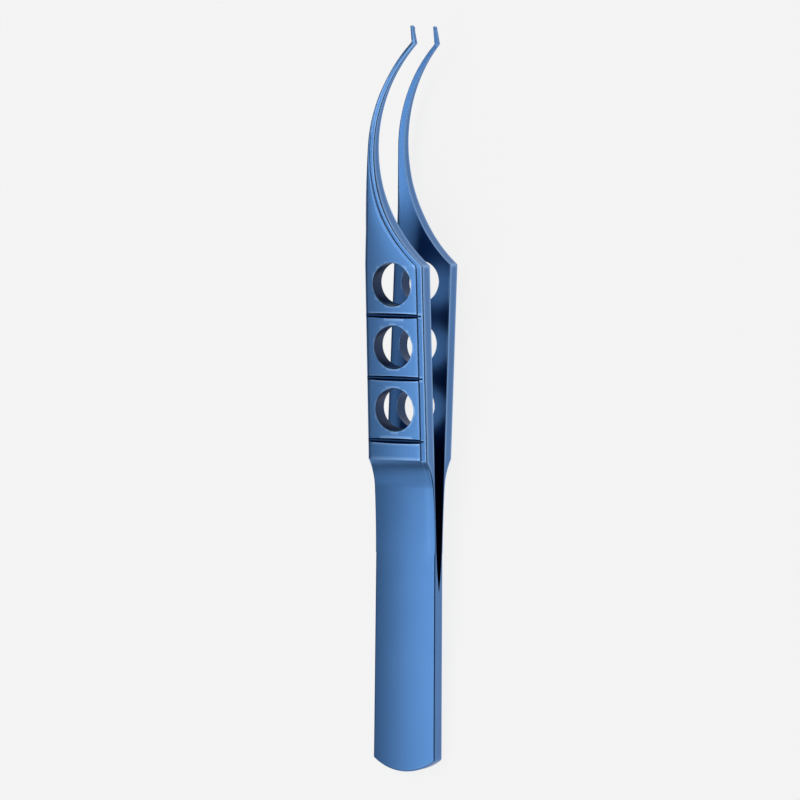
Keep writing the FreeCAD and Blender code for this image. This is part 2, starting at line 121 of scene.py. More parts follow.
def cleared_tree(owner: Material | World) -> NodeTree:
    """Give a material or world its node tree, without any node.

    Args:
        owner: the material or world.

    Returns:
        Its empty tree.
    """
    owner.use_nodes = True
    owner.node_tree.nodes.clear()
    return owner.node_tree


def placed(name: str, data: ID) -> Object:
    """Put a mesh, lamp or camera into the scene.

    Args:
        name: the object's name.
        data: what the object shows.

    Returns:
        The object, at the origin.
    """
    made = bpy.data.objects.new(name, data)
    bpy.context.scene.collection.objects.link(made)
    return made


def stance(place: Point3, right: Point3, up: Point3, back: Point3) -> Matrix:
    """Where a lamp or camera stands and how its three axes point, as one matrix."""
    turn = Matrix((right, up, back)).transposed()
    return Matrix.Translation(place) @ turn.to_4x4()


def arc_height(at: float, start: Point2, end: Point2, radius: float, bow: int) -> float:
    """Height of an arc that runs between two points.

    Args:
        at: where along the instrument the height is wanted.
        start: the arc's first point, along and up.
        end: its last point.
        radius: its radius.
        bow: 1 where it stands above its chord, -1 where it hangs below.

    Returns:
        The height there.
    """
    run = end[0] - start[0]
    rise = end[1] - start[1]
    chord = math.hypot(run, rise)
    back = math.sqrt(radius ** 2 - chord ** 2 / 4)
    centre_along = (start[0] + end[0]) / 2 + bow * rise / chord * back
    centre_up = (start[1] + end[1]) / 2 - bow * run / chord * back
    return centre_up + bow * math.sqrt(radius ** 2 - (at - centre_along) ** 2)


def between(at: float, start: Point2, end: Point2) -> float:
    """Height of the straight line between two points, at a place along it."""
    return start[1] + (end[1] - start[1]) * (at - start[0]) / (end[0] - start[0])


def eased(at: float, start: float, end: float) -> float:
    """Go from 0 to 1 between two places, with a soft start and end."""
    share = min(max((at - start) / (end - start), 0.0), 1.0)
    return share * share * (3 - 2 * share)


def steps(start: float, end: float, pitch: float) -> list[float]:
    """Places from start up to but not at end, about a pitch apart."""
    count = max(1, round((end - start) / pitch))
    return [start + (end - start) * i / count for i in range(count)]


def crown_fall(share: float, half: float, slope: float) -> float:
    """How far a crowned face has fallen at a share of its half width from its middle."""
    return slope * half / 2 * share ** 2


def corner(centre: Point2, radius: float, start: float, spans: int) -> Ring:
    """Points of a quarter round.

    Args:
        centre: the round's centre, across and up.
        radius: its radius.
        start: where it starts, in quarter turns from u towards w.
        spans: how many spans it has.

    Returns:
        The points, one more than the spans.
    """
    angles = [(start + i / spans) * math.pi / 2 for i in range(spans + 1)]
    return [
        (centre[0] + radius * math.cos(a), centre[1] + radius * math.sin(a)) for a in angles]


def straight(start: Point2, end: Point2, spans: int) -> Ring:
    """Points inside a straight run, without its two ends."""
    return [
        (start[0] + (end[0] - start[0]) * i / spans, start[1] + (end[1] - start[1]) * i / spans)
        for i in range(1, spans)]


@dataclass(frozen=True)
class Ramp:
    """An amount that comes in softly between two places."""

    amount: float
    start: float
    end: float

    def at(self, place: float) -> float:
        """How much of the amount is there at a place."""
        return self.amount * eased(place, self.start, self.end)


@dataclass(frozen=True)
class Rollover:
    """A straight flank that turns over in a small arc into a long belly."""

    turn: Point2
    slope: float
    end: Point2
    turn_radius: float = 20.0
    belly_radius: float = 330.0

    def height(self, at: float) -> float:
        """Height of the profile past the turn.

        Args:
            at: where along the instrument.

        Returns:
            The height there, on the small arc or on the belly.
        """
        length = math.hypot(1.0, self.slope)
        small = (
            self.turn[0] + self.turn_radius * self.slope / length,
            self.turn[1] - self.turn_radius / length,
        )
        spread = self.belly_radius - self.turn_radius
        run = self.end[0] - small[0]
        rise = self.end[1] - small[1]
        reach = math.hypot(run, rise)
        facing = (self.belly_radius ** 2 - spread ** 2 - reach ** 2) / (2 * spread)
        angle = math.atan2(run, rise) - math.acos(facing / reach)
        if at <= small[0] + self.turn_radius * math.sin(angle):
            return small[1] + math.sqrt(self.turn_radius ** 2 - (at - small[0]) ** 2)
        big = (small[0] - spread * math.sin(angle), small[1] - spread * math.cos(angle))
        return big[1] + math.sqrt(self.belly_radius ** 2 - (at - big[0]) ** 2)


@dataclass(frozen=True)
class Rest:
    """How the instrument lies: on the rear grip pad and the tail's lower edge."""

    lean: float = 3.58
    along: float = -42.4769
    up: float = 1.0828

    def matrix(self) -> Matrix:
        """Place and scale that take the drawing's millimetres to the frame."""
        laid = Matrix.Translation((0.0, self.along, self.up))
        return Matrix.Scale(MM, 4) @ laid @ Matrix.Rotation(math.radians(self.lean), 4, "X")


def strip_cap(shell: bmesh.types.BMesh, ring: list[bmesh.types.BMVert], top: int) -> None:
    """Close a bowed ring with strips from its upper run to its lower one.

    Args:
        shell: the mesh that gets the faces.
        ring: the ring's upper run, one side, lower run and other side.
        top: how many points its upper run has, and its lower one.
    """
    side = len(ring) // 2 - top
    upper, left = ring[:top], ring[top:top + side]
    lower, right = ring[top + side:2 * top + side][::-1], ring[2 * top + side:]
    for i in range(top - 1):
        past = left if i == top - 2 else []
        back = right if i == 0 else []
        shell.faces.new([upper[i], upper[i + 1], *past, lower[i + 1], lower[i], *back])


def loft(name: str, rings: list[list[Vector]], bowed_top: int = 0) -> Object:
    """Skin a closed solid over rings that have the same number of points.

    Args:
        name: the object's name.
        rings: each ring's points in order, from one end to the other.
        bowed_top: where the first ring is bowed, how many points its upper run has.

    Returns:
        A new object, linked to the scene, with its faces pointing outwards.
    """
    shell = bmesh.new()
    lines = [[shell.verts.new(point) for point in ring] for ring in rings]
    count = len(lines[0])
    for low, high in zip(lines, lines[1:]):
        for i in range(count):
            shell.faces.new((low[i], low[(i + 1) % count], high[(i + 1) % count], high[i]))
    if bowed_top:
        strip_cap(shell, lines[0], bowed_top)
    else:
        shell.faces.new(lines[0])
    shell.faces.new(lines[-1])
    bmesh.ops.remove_doubles(shell, verts=shell.verts[:], dist=MERGE_GAP)
    bmesh.ops.dissolve_degenerate(shell, edges=shell.edges[:], dist=LEAST_EDGE)
    bmesh.ops.recalc_face_normals(shell, faces=shell.faces[:])
    mesh = bpy.data.meshes.new(name)
    shell.to_mesh(mesh)
    shell.free()
    return placed(name, mesh)


def apply_modifiers(piece: Object) -> None:
    """Turn a piece's modifiers into its plain mesh and take them off.

    Args:
        piece: the piece, which keeps its name.
    """
    graph = bpy.context.evaluated_depsgraph_get()
    plain = bpy.data.meshes.new_from_object(
        piece.evaluated_get(graph), preserve_all_data_layers=True, depsgraph=graph)
    piece.modifiers.clear()
    piece.data = plain


def join(piece: Object, others: list[Object]) -> None:
    """Add the meshes of other pieces to a piece and remove those pieces.

    Args:
        piece: the piece that gets the meshes.
        others: the pieces that end in it.
    """
    together = bmesh.new()
    together.from_mesh(piece.data)
    for other in others:
        together.from_mesh(other.data)
        bpy.data.objects.remove(other)
    together.to_mesh(piece.data)
    together.free()


def mark_faces(mesh: Mesh, name: str, value: Callable[[MeshPolygon], float]) -> None:
    """Store a number on every face.

    Args:
        mesh: the mesh that gets the face attribute.
        name: the attribute's name.
        value: gives a face's number, from 0 to 1.
    """
    layer = mesh.attributes.new(name, "FLOAT", "FACE")
    layer.data.foreach_set("value", [value(face) for face in mesh.polygons])


@dataclass(frozen=True)
class EdgeWearAndHighlight:
    """Pale edges, part wear and part painted highlight: little on the tail and the left edges,
    most on grip, neck and jaws.
    """

    full_angle: float = math.radians(12)
    tail: float = 0.1
    handled: Ramp = Ramp(0.9, 33.0, 37.0)
    dim_left_share: float = 0.2
    lit_side_share: Ramp = Ramp(0.8, -3.4, -3.0)
    same_station: float = 1e-3

    def mark(self, mesh: Mesh, cut: float) -> None:
        """Store how much each point stands on an outward edge painted pale, as wear and painted
        highlight.

        Args:
            mesh: the finished mesh, which gets the point attribute "edge".
            cut: station of the cut between tail and arms, which isn't a real edge.
        """
        shape = bmesh.new()
        shape.from_mesh(mesh)
        values = [0.0] * len(shape.verts)
        for edge in shape.edges:
            at_cut = all(abs(vert.co.y - cut) < self.same_station for vert in edge.verts)
            if at_cut or len(edge.link_faces) != 2:
                continue
            turn = min(edge.calc_face_angle_signed(0.0) / self.full_angle, 1.0)
            for vert in edge.verts:
                along = self.tail + self.handled.at(vert.co.y)
                across = self.dim_left_share + self.lit_side_share.at(vert.co.x)
                values[vert.index] = max(values[vert.index], turn * along * across)
        shape.free()
        layer = mesh.attributes.new("edge", "FLOAT", "POINT")
        layer.data.foreach_set("value", values)


@dataclass(frozen=True)
class AnodisedTitanium:
    """Titanium, fine-blasted and anodised blue.

    The oxide film gives one deep blue, paler in soft clouds. Its edges turn
    paler, part wear and part painted highlight, and the inner faces, holes,
    grooves and slot are painted darker as painted shade. The blasting gives a
    satin sheen with a soft, wide highlight.
    """

    name: str = "titanium_blasted_anodised_blue"
    deep: str = "5283c0"
    pale: str = "5d8ecb"
    # pale colour of the edges, part wear and part painted highlight
    worn: str = "93c1f7"
    # painted shade: dark navy for the holes, grooves, slot and the inner faces between the arms
    painted_shade_colour: str = "22406a"
    rough_low: float = 0.29
    rough_high: float = 0.37
    cloud_mm: float = 9.0
    least_wear: float = 0.6
    cloudy_wear: float = 0.6
    grit_mm: float = 0.16
    grit_low: float = 0.3
    grit_high: float = 0.7
    grit_relief: float = 0.06
    grit_depth: float = 0.02 * MM

    def film(self, tree: NodeTree, place: NodeSocket) -> NodeSocket:
        """Colour the film: cloudy, painted shade in hollows, edges of wear and painted highlight.

        Args:
            tree: the material's tree.
            place: the place on the piece, in millimetres.

        Returns:
            The film's colour.
        """
        cloud = add_node(
            tree, "ShaderNodeTexNoise", None,
            {"Vector": place, "Scale": 1 / self.cloud_mm, "Detail": 2.0}).outputs["Fac"]
        edge, painted_shade = (
            add_node(
                tree, "ShaderNodeAttribute",
                {"attribute_name": name, "attribute_type": "GEOMETRY"}).outputs["Fac"]
            for name in ("edge", "painted_shade"))
        uneven = add_node(
            tree, "ShaderNodeMath", {"operation": "MULTIPLY_ADD"},
            {0: cloud, 1: self.cloudy_wear, 2: self.least_wear})
        open_edge = add_node(
            tree, "ShaderNodeMath", {"operation": "SUBTRACT", "use_clamp": True},
            {0: edge, 1: painted_shade})
        wear_and_highlight = add_node(
            tree, "ShaderNodeMath", {"operation": "MULTIPLY"},
            {0: open_edge.outputs[0], 1: uneven.outputs[0]})
        colour = linear(self.deep)
        # painted shade darkens hollows and inner faces; pale edges are part wear, part painted
        # highlight
        layers = ((cloud, self.pale), (painted_shade, self.painted_shade_colour), (wear_and_highlight.outputs[0], self.worn))
        for share, over in layers:
            colour = add_node(
                tree, "ShaderNodeMix", {"data_type": "RGBA"},
                {0: share, 6: colour, 7: linear(over)}).outputs[2]
        return colour

    def material(self) -> Material:
        """Build the node material.

        Returns:
            The material, which reads Object coordinates, the edge attribute of wear
            and painted highlight, and the attribute of painted shade.
        """
        made = bpy.data.materials.new(self.name)
        tree = cleared_tree(made)
        place = add_node(tree, "ShaderNodeTexCoord").outputs["Object"]
        in_mm = add_node(
            tree, "ShaderNodeMapping", {"vector_type": "POINT"},
            {"Vector": place, "Scale": (1 / MM, 1 / MM, 1 / MM)}).outputs["Vector"]
        # Blasting grit is about 0.05 mm, too fine to show, so it is drawn three times as coarse.
        grit = add_node(
            tree, "ShaderNodeTexNoise", None,
            {"Vector": in_mm, "Scale": 1 / self.grit_mm, "Detail": 3.0}).outputs["Fac"]
        rough = add_node(
            tree, "ShaderNodeMapRange", None,
            {"Value": grit, "From Min": self.grit_low, "From Max": self.grit_high,
             "To Min": self.rough_low, "To Max": self.rough_high})
        relief = add_node(
            tree, "ShaderNodeBump", None,
            {"Height": grit, "Strength": self.grit_relief, "Distance": self.grit_depth})
        metal = add_node(
            tree, "ShaderNodeBsdfPrincipled", None,
            {"Base Color": self.film(tree, in_mm), "Metallic": 1.0,
             "Roughness": rough.outputs[0], "Normal": relief.outputs[0]})
        add_node(tree, "ShaderNodeOutputMaterial", None, {"Surface": metal.outputs[0]})
        return made


@dataclass(frozen=True)
class Faces:
    """Sizes that tail and arms share, so that their faces run on without a step."""

    split: float = 25.0
    half_gap: float = 0.667
    tail_half_width: float = 3.95
    shoulder_half_width: float = 3.69
    shoulder: float = 57.92
    tail_half_thickness: float = 1.085
    edge_round: float = 0.2
    edge_spans: int = 6
    face_spans: int = 20
    crown_slope: float = 0.07
    # share of painted shade on the inner faces and inside the slot
    inner_painted_shade: float = 0.65

    def half_width(self, v: float) -> float:
        """Half the width of tail and grip at a station."""
        return between(v, (0.0, self.tail_half_width), (self.shoulder, self.shoulder_half_width))


@dataclass(frozen=True)
class Dressing:
    """What every piece gets once shaped: shading, edge wear and painted highlight, metal and
    place.
    """

    finish: Material
    rest: Rest
    wear: EdgeWearAndHighlight
    cut: float

    def put_on(self, piece: Object) -> None:
        """Shade, mark, dress and lay down a piece.

        Args:
            piece: the piece in the drawing's millimetres.
        """
        piece.data.shade_smooth()
        piece.data.set_sharp_from_angle(angle=SHARP_ANGLE)
        weighted = piece.modifiers.new("even_shading", "WEIGHTED_NORMAL")
        weighted.mode = "FACE_AREA"
        weighted.keep_sharp = True
        apply_modifiers(piece)
        # Pale edges, part wear and part painted highlight.
        self.wear.mark(piece.data, self.cut)
        piece.data.transform(self.rest.matrix())
        piece.data.materials.clear()
        piece.data.materials.append(self.finish)


@dataclass
class Tail:
    """The two halves' joined slab, slit open towards the leaves."""

    faces: Faces
    dressing: Dressing
    end_round: float = 6.2
    end_length: float = 8.0
    end_pitch: float = 0.4
    pitch: float = 0.6
    side_spans: int = 6
    least_round: float = 0.002
    slot_start: float = 20.48
    slot_arch: float = 29.0
    slot_pitch: float = 0.3
    slot_margin: float = 0.05
    slot_facing: float = 0.7
    wedge_half_width: float = 6.0
    wedge_past: float = 1.0

    def ring(self, station: float, inset: float) -> list[Vector]:
        """One ring round the slab, bowed like the rounded end near that end.

        Args:
            station: how far along, measured on the long axis.
            inset: how far the ring has shrunk inwards for the end's round.

        Returns:
            The ring's points.
        """
        faces = self.faces
        half = faces.half_width(station) - inset
        radius = max(faces.edge_round - inset, self.least_round)
        crown = crown_fall(1.0, half, faces.crown_slope)
        rim = faces.tail_half_thickness - inset - crown
        upper: Ring = corner((half - radius, rim - radius), radius, 0, faces.edge_spans)
        for i in range(1, faces.face_spans):
            share = 1 - 2 * i / faces.face_spans
            height = rim + crown - crown_fall(share, half, faces.crown_slope)
            upper.append((share * (half - radius), height))
        upper += corner((radius - half, rim - radius), radius, 1, faces.edge_spans)
        side = straight((-half, rim - radius), (-half, radius - rim), self.side_spans)
        lower = [(-u, -w) for u, w in upper]
        other = straight((half, radius - rim), (half, rim - radius), self.side_spans)
        fade = max(0.0, 1 - station / self.end_length) ** 2
        points = []
        for u, w in upper + side + lower + other:
            bowed = (self.end_round - math.sqrt(self.end_round ** 2 - u * u)) * fade
            points.append(Vector((u, station + bowed, w)))
        return points

    def slab(self) -> Object:
        """Loft the slab, with its end's edges rounded.

        Returns:
            The slab, without its slot.
        """
        faces = self.faces
        radius = faces.edge_round
        turns = [math.pi / 2 * (1 - i / faces.edge_spans) for i in range(faces.edge_spans)]
        rings = [
            self.ring(radius * (1 - math.sin(turn)), radius * (1 - math.cos(turn)))
            for turn in turns]
        stations = steps(radius, self.end_length, self.end_pitch)
        stations += steps(self.end_length, faces.split, self.pitch) + [faces.split]
        rings += [self.ring(v, 0.0) for v in stations]
        upper_points = 2 * (faces.edge_spans + 1) + faces.face_spans - 1
        return loft("tail_slab", rings, upper_points)

    def slot(self) -> Object:
        """Make the wedge that opens the slot.

        Returns:
            The wedge, its sides bowed like a pointed arch.
        """
        split, half_gap = self.faces.split, self.faces.half_gap
        start = (self.slot_start, 0.0)
        arch = [
            (v, arc_height(v, start, (split, half_gap), self.slot_arch, 1))
            for v in steps(self.slot_start, split, self.slot_pitch)]
        arch += [(split, half_gap), (split + self.wedge_past, half_gap)]
        outline = arch + [(v, -w) for v, w in reversed(arch[1:])]
        rings = [
            [Vector((u, v, w)) for v, w in outline]
            for u in (-self.wedge_half_width, self.wedge_half_width)]
        return loft("tail_slot", rings)

    def painted_shade_share(self, face: MeshPolygon) -> float:
        """Share of painted shade on a face: part shade inside the slot, none elsewhere."""
        in_slot = face.center.y > self.slot_start and abs(face.normal.z) > self.slot_facing
        gap = self.faces.half_gap + self.slot_margin
        return self.faces.inner_painted_shade * (in_slot and abs(face.center.z) < gap)

    def build(self) -> Object:
        """Make the tail and set it on its body.

        Returns:
            The finished piece.
        """
        piece = self.slab()
        wedge = self.slot()
        cut = piece.modifiers.new("slot", "BOOLEAN")
        cut.operation = "DIFFERENCE"
        cut.solver = "EXACT"
        cut.object = wedge
        apply_modifiers(piece)
        bpy.data.objects.remove(wedge)
        # Painted shade inside the slot.
        mark_faces(piece.data, "painted_shade", self.painted_shade_share)
        piece.name = "tail_anodised"
        self.dressing.put_on(piece)
        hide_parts("tail")
        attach(piece, "tail")
        return piece


@dataclass(frozen=True)
class ArmProfile:
    """The rules of one arm's shape, seen from its side and from the front."""

    faces: Faces
    lean: float = math.tan(math.radians(3.27))
    pad_lean: float = math.tan(math.radians(Rest.lean))
    leaf_end: float = 32.6
    leaf_end_height: float = 1.56
    leaf_back_radius: float = 61.0
    scoop_top: float = 35.85
    scoop_radius: float = 5.66
    neck: float = 62.1
    bend: float = 82.95
    end: float = 85.0
    thickness: float = 1.982
    bow_radius: float = 163.0
    inner_bend: float = 2.621
    back_bend: float = 3.031
    past_tip: float = 86.0
    inner_tip: float = 2.601
    back_tip: float = 3.001
    neck_centre: Point2 = (14.560, 71.261)
    neck_radius: float = 17.209
    strip_width: float = 0.5
    step_inset: float = 0.74
    step_height: float = 0.27
    step_runout: float = 0.23
    left_edge: float = -3.48
    left_radius: float = 16.61
    bend_left: float = 1.33
    bend_right: float = 1.93
    tip_middle: float = 1.337
    tip_half_width: float = 0.178
    tip_start: float = 84.86
    jaw_crown: Ramp = Ramp(0.10, 62.0, 76.0)
    neck_round: Ramp = Ramp(0.08, 58.0, 66.0)
    tip_round: Ramp = Ramp(-0.16, 74.0, 84.0)
    palm_round: Ramp = Ramp(0.24, 34.0, 36.5)
    palm_fade: Point2 = (62.0, 74.0)
    pad_soft: float = 0.02
    neck_soft: Ramp = Ramp(0.03, 56.0, 60.0)
    tip_soft: Ramp = Ramp(-0.04, 74.0, 83.0)
    jaw_fall: Ramp = Ramp(0.08, 62.0, 68.0)
    jaw_fade: Point2 = (77.0, 82.5)
    pad_pitch: float = 0.4
    scoop_pitch: float = 0.09
    shoulder_pitch: float = 0.2
    turn_pitch: float = 0.12
    turn_length: float = 3.0
    jaw_pitch: float = 0.22
    end_rings: int = 6
    end_left: float = 0.0005

    def inner(self, v: float) -> float:
        """Height of the inner face.

        Args:
            v: the station.

        Returns:
            The height there, up from the plane between the arms.
        """
        if v <= self.neck:
            return self.faces.half_gap + self.lean * (v - self.faces.split)
        turn = (self.neck, self.inner(self.neck))
        bend = (self.bend, self.inner_bend)
        if v <= self.bend:
            return arc_height(v, turn, bend, self.bow_radius, 1)
        return between(v, bend, (self.past_tip, self.inner_tip))

    def pad(self, v: float) -> float:
        """Height of the pad's plane at a station."""
        root = self.faces.half_gap + self.thickness
        return root + self.pad_lean * (v - self.faces.split)

    def back(self, v: float) -> float:
        """Height of the arm's back along its middle.

        Args:
            v: the station.

        Returns:
            The height there, over leaf, scoop, pad, jaw or tip.
        """
        leaf = (self.leaf_end, self.leaf_end_height)
        bend = (self.bend, self.back_bend)
        if v <= self.leaf_end:
            root = (self.faces.split, self.faces.tail_half_thickness)
            return arc_height(v, root, leaf, self.leaf_back_radius, -1)
        if v <= self.scoop_top:
            top = (self.scoop_top, self.pad(self.scoop_top))
            return arc_height(v, leaf, top, self.scoop_radius, -1)
        if v <= self.neck:
            return self.pad(v)
        if v <= self.bend:
            return Rollover((self.neck, self.pad(self.neck)), self.pad_lean, bend).height(v)
        return between(v, bend, (self.past_tip, self.back_tip))

    def strip(self, v: float) -> float:
        """Height of the sunk strip along the right side of pad and neck.

        Args:
            v: the station.

        Returns:
            The height there; past the bend it stands clear of the back.
        """
        if v <= self.neck:
            return self.pad(v) - self.step_height
        if v > self.bend:
            return self.back_bend + self.step_runout
        turn = (self.neck, self.pad(self.neck) - self.step_height)
        end = (self.bend, self.back_bend + self.step_runout)
        return Rollover(turn, self.pad_lean, end).height(v)

    def tip_share(self, v: float) -> float:
        """Share of the tip's width that is left where its end rounds off."""
        past = max(0.0, v - self.tip_start) / (self.end - self.tip_start)
        return math.sqrt(max(0.0, 1 - past * past))

    def tip_edge(self, v: float, at_bend: float, sign: int) -> float:
        """Place of the tip's edge across the arm.

        Args:
            v: the station, past the bend.
            at_bend: where the edge is at the bend.
            sign: 1 for the right edge, -1 for the left one.

        Returns:
            The edge's place there.
        """
        tip = (self.tip_start, self.tip_middle + sign * self.tip_half_width)
        edge = between(min(v, self.tip_start), (self.bend, at_bend), tip)
        return self.tip_middle + (edge - self.tip_middle) * self.tip_share(v)

    def hollow(self, v: float, centre: float, radius: float) -> float:
        """Place across the arm of an arc that is deepest at the neck centre's station."""
        rise = v - self.neck_centre[1]
        return centre - math.sqrt(radius ** 2 - rise * rise)

    def right(self, v: float) -> float:
        """Place of the right edge across the arm.

        Args:
            v: the station.

        Returns:
            The edge's place there.
        """
        if v <= self.faces.shoulder:
            return self.faces.half_width(v)
        if v <= self.bend:
            return self.hollow(v, self.neck_centre[0], self.neck_radius)
        return self.tip_edge(v, self.bend_right, 1)

    def left(self, v: float) -> float:
        """Place of the left edge across the arm.

        Args:
            v: the station.

        Returns:
            The edge's place there.
        """
        if v <= self.faces.shoulder:
            return -self.faces.half_width(v)
        if v <= self.neck:
            grip = (self.faces.shoulder, -self.faces.shoulder_half_width)
            return between(v, grip, (self.neck, self.left_edge))
        if v <= self.neck_centre[1]:
            return self.left_edge
        if v <= self.bend:
            return self.hollow(v, self.left_edge + self.left_radius, self.left_radius)
        return self.tip_edge(v, self.bend_left, -1)

    def pad_edge(self, v: float) -> float:
        """Place of the raised pad's edge across the arm."""
        if v < self.faces.shoulder:
            return self.faces.half_width(v) - self.step_inset
        return self.hollow(v, self.neck_centre[0], self.neck_radius + self.strip_width)

    def crown_slope(self, v: float) -> float:
        """Slope of the crowned back at its edges, fuller along the jaw."""
        return self.faces.crown_slope + self.jaw_crown.at(v)

    def edge_round(self, v: float) -> float:
        """Radius of the long outer edges, fuller at the neck, fine at the tips."""
        return self.faces.edge_round + self.neck_round.at(v) + self.tip_round.at(v)

    def left_round(self, v: float) -> float:
        """Radius of the edges on the left, which the palm wears against."""
        return self.edge_round(v) + self.palm_round.at(v) * (1 - eased(v, *self.palm_fade))

    def soft_fall(self, v: float) -> float:
        """How far the back rolls off beside its raised edge, most along the neck."""
        return self.pad_soft + self.neck_soft.at(v) + self.tip_soft.at(v)

    def inner_fall(self, v: float) -> float:
        """Slope of the inner face across the jaw, none at the grip and the tips."""
        return self.jaw_fall.at(v) * (1 - eased(v, *self.jaw_fade))

    def stations(self) -> list[float]:
        """Places of the rings, closest where the shape turns quickest.

        Returns:
            The stations, from the split to just before the tip's end.
        """
        marks = (
            (self.faces.split, self.pad_pitch), (self.leaf_end, self.scoop_pitch),
            (self.scoop_top, self.pad_pitch), (self.faces.shoulder, self.shoulder_pitch),
            (self.neck, self.turn_pitch), (self.neck + self.turn_length, self.jaw_pitch),
            (self.bend, self.turn_pitch), (self.tip_start, 0.0))
        places = []
        for (start, pitch), (end, _) in zip(marks, marks[1:]):
            places += steps(start, end, pitch)
        for i in range(self.end_rings):
            turn = i * math.pi / (2 * self.end_rings)
            places.append(self.tip_start + (self.end - self.tip_start) * math.sin(turn))
        return places + [self.end - self.end_left]


@dataclass
class Section:
    """An arm's cross-section at one station, with heights up from the middle plane.

    The values named share hold the rounds back to a part of the section's width or
    height, so that the fine tips keep their shape.
    """

    profile: ArmProfile
    v: float
    inner_round: float = 0.05
    rim_round: float = 0.12
    soft_width: float = 0.5
    least_rim: float = 0.002
    round_width_share: float = 0.42
    round_height_share: float = 0.45
    land_share: float = 0.1
    soft_share: float = 0.35
    inner_share: float = 0.2
    worn_share: float = 0.7
    worn_height_share: float = 0.3
    wall_share: float = 0.6
    strip_fall: float = 0.6
    rim_run: float = 1.5
    strip_spans: int = 4
    wall_spans: int = 2
    small_spans: int = 4
    soft_spans: int = 6
    inner_spans: int = 14
    right_inner_spans: int = 3

    def __post_init__(self) -> None:
        """Work out the section's edges, and its rounds as they fit into it."""
        profile, v = self.profile, self.v
        self.faces = profile.faces
        self.left, self.right = profile.left(v), profile.right(v)
        self.half = (self.right - self.left) / 2
        self.back, self.strip, self.inner = profile.back(v), profile.strip(v), profile.inner(v)
        self.slope, self.fall = profile.crown_slope(v), profile.soft_fall(v)
        self.lean = profile.inner_fall(v)
        widest = self.round_width_share * self.half
        right_land = self.right - min(profile.edge_round(v), widest) - self.land_share * self.half
        self.edge = min(profile.pad_edge(v), right_land)
        self.soft = min(self.soft_width, self.soft_share * self.half)
        height = self.low(self.right) - self.under(self.right)
        highest = self.round_height_share * height
        self.big = min(profile.edge_round(v), highest, widest)
        self.wide = min(profile.left_round(v), highest, widest)
        self.small = min(
            self.inner_round, self.inner_share * self.half, self.inner_share * height)
        self.worn = max(
            self.small, min(self.worn_share * self.wide, self.worn_height_share * height))
        wall = self.rolled(self.edge) - self.low(self.edge)
        self.rim = max(self.least_rim, min(self.rim_round, self.wall_share * wall))

    def top(self, u: float) -> float:
        """Height of the crowned back at a place across."""
        share = (u - (self.right + self.left) / 2) / self.half
        return self.back - crown_fall(share, self.half, self.slope)

    def low(self, u: float) -> float:
        """Height of the strip, or of the back where that is lower."""
        past = min(max(0.0, (u - self.edge) / self.soft), 1.0)
        return min(self.strip, self.top(u)) - self.strip_fall * self.fall * past

    def rolled(self, u: float) -> float:
        """Height of the back where it rolls off softly towards the raised edge."""
        return self.top(u) - self.fall * max(0.0, 1 - (self.edge - u) / self.soft) ** 2

    def under(self, u: float) -> float:
        """Height of the inner face, which falls away to the right along the jaw."""
        return self.inner + self.lean * (u - self.left)

    def across(
        self, height: Callable[[float], float], start: float, end: float, spans: int,
    ) -> Ring:
        """Points of one of the heights between two places across, without the end."""
        places = [start + (end - start) * i / spans for i in range(spans)]
        return [(u, height(u)) for u in places]

    def right_back(self) -> Ring:
        """Draw the right outer edge, the strip, and the raised back's wall and rim.

        Returns:
            The points, from right to left.
        """
        start = self.right - self.big
        edge, rim = self.edge, self.rim
        points = corner((start, self.low(start) - self.big), self.big, 0, self.faces.edge_spans)
        points += self.across(self.low, start, edge, self.strip_spans)[1:]
        points.append((edge, self.low(edge)))
        rim_top = self.rolled(edge - rim)
        points += straight((edge, self.low(edge)), (edge, rim_top - rim), self.wall_spans)
        return points + corner((edge - rim, rim_top - rim), rim, 0, self.small_spans)

    def left_back(self) -> Ring:
        """Draw the raised back from its rim to the left outer edge, and the left side.

        Returns:
            The points, from right to left and down.
        """
        inside = self.edge - max(self.rim * self.rim_run, self.soft)
        end = self.left + self.wide
        points = self.across(self.rolled, self.edge - self.rim, inside, self.soft_spans)[1:]
        points += self.across(self.rolled, inside, end, self.faces.face_spans)
        side_top = self.top(end) - self.wide
        points += corner((end, side_top), self.wide, 1, self.faces.edge_spans)
        foot = self.under(self.left + self.worn) + self.worn
        return points + straight((self.left, side_top), (self.left, foot), self.small_spans)

    def inside(self) -> Ring:
        """Draw the inner face with its two edges, and the right side.

        Returns:
            The points, from left to right and up.
        """
        start, end = self.left + self.worn, self.right - self.small
        low_start, low_end = self.under(start), self.under(end)
        points = corner((start, low_start + self.worn), self.worn, 2, self.small_spans)
        points += straight((start, low_start), (end, low_end), self.inner_spans)
        points += corner((end, low_end + self.small), self.small, 3, self.right_inner_spans)
        side_top = self.low(self.right - self.big) - self.big
        foot = (self.right, low_end + self.small)
        return points + straight(foot, (self.right, side_top), self.small_spans)


